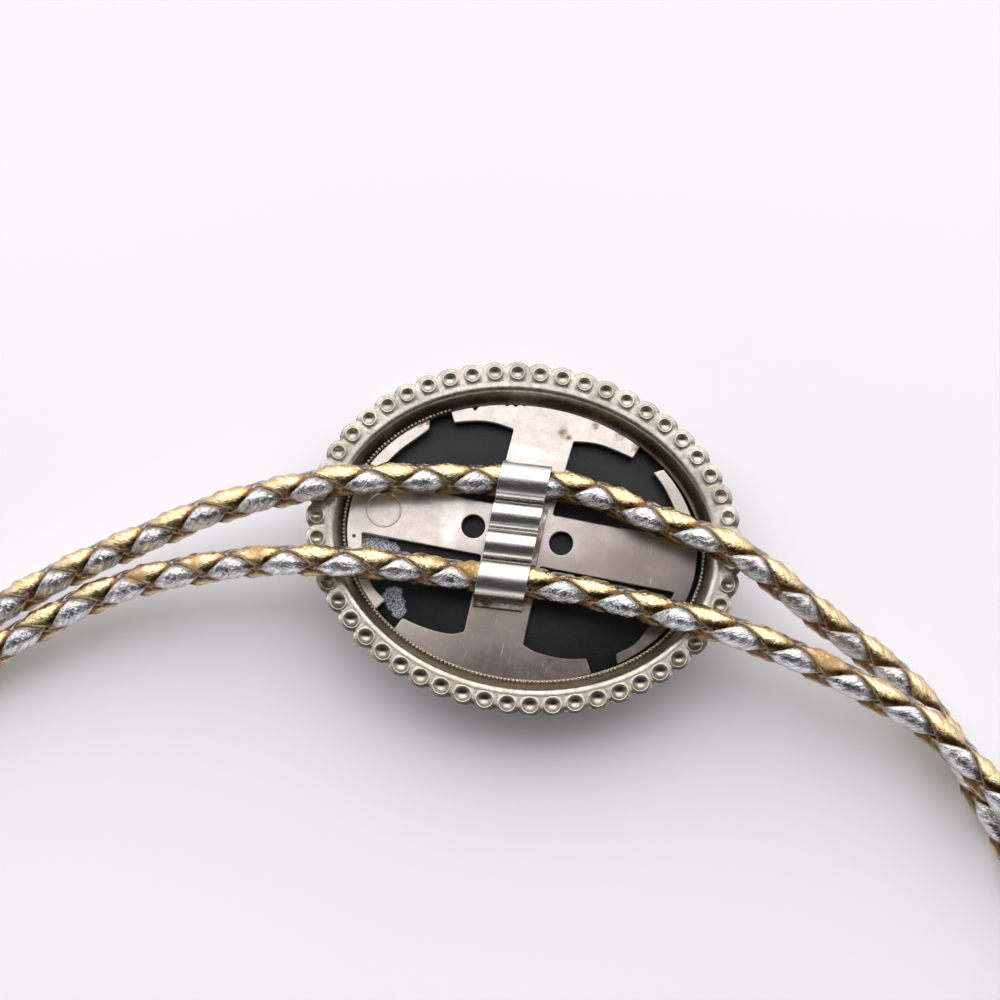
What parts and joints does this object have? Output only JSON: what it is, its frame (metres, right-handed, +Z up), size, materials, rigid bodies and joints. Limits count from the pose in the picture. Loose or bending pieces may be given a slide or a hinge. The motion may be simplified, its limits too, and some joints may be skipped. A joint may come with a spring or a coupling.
{
  "type": "bolo tie",
  "caption": "Bolo tie lying face down: oval beaded slide with a black cabochon, pierced back plate and corrugated clip on a round braided cord with metal tips.",
  "frame": {"origin": "middle of the small flat on the stone's domed face, which rests on the surface", "axes": "+Z up through the slide's back, +X along the slide's long axis towards the neck loop, +Y along its short axis"},
  "size_m": [0.3664, 0.2452, 0.0134],
  "materials": {
    "nickel_frame": "stamped nickel silver, lightly tarnished",
    "black_stone": "black stone, polished dome and matte flat back",
    "nickel_plate": "satin nickel silver with scratches and small rust spots",
    "clip_steel": "brushed bright steel",
    "braided_cord": "gold and silver foil leather, braided",
    "tip_metal": "plain polished nickel"
  },
  "bodies": {
    "root": {"bezel_frame": "nickel_frame", "cabochon": "black_stone", "back_plate": "nickel_plate", "cord_clip": "clip_steel", "neck_cord": "braided_cord", "tail_cord_1": "braided_cord", "tail_cord_2": "braided_cord", "cord_tip_1": "tip_metal", "cord_tip_2": "tip_metal"}
  },
  "joints": []
}
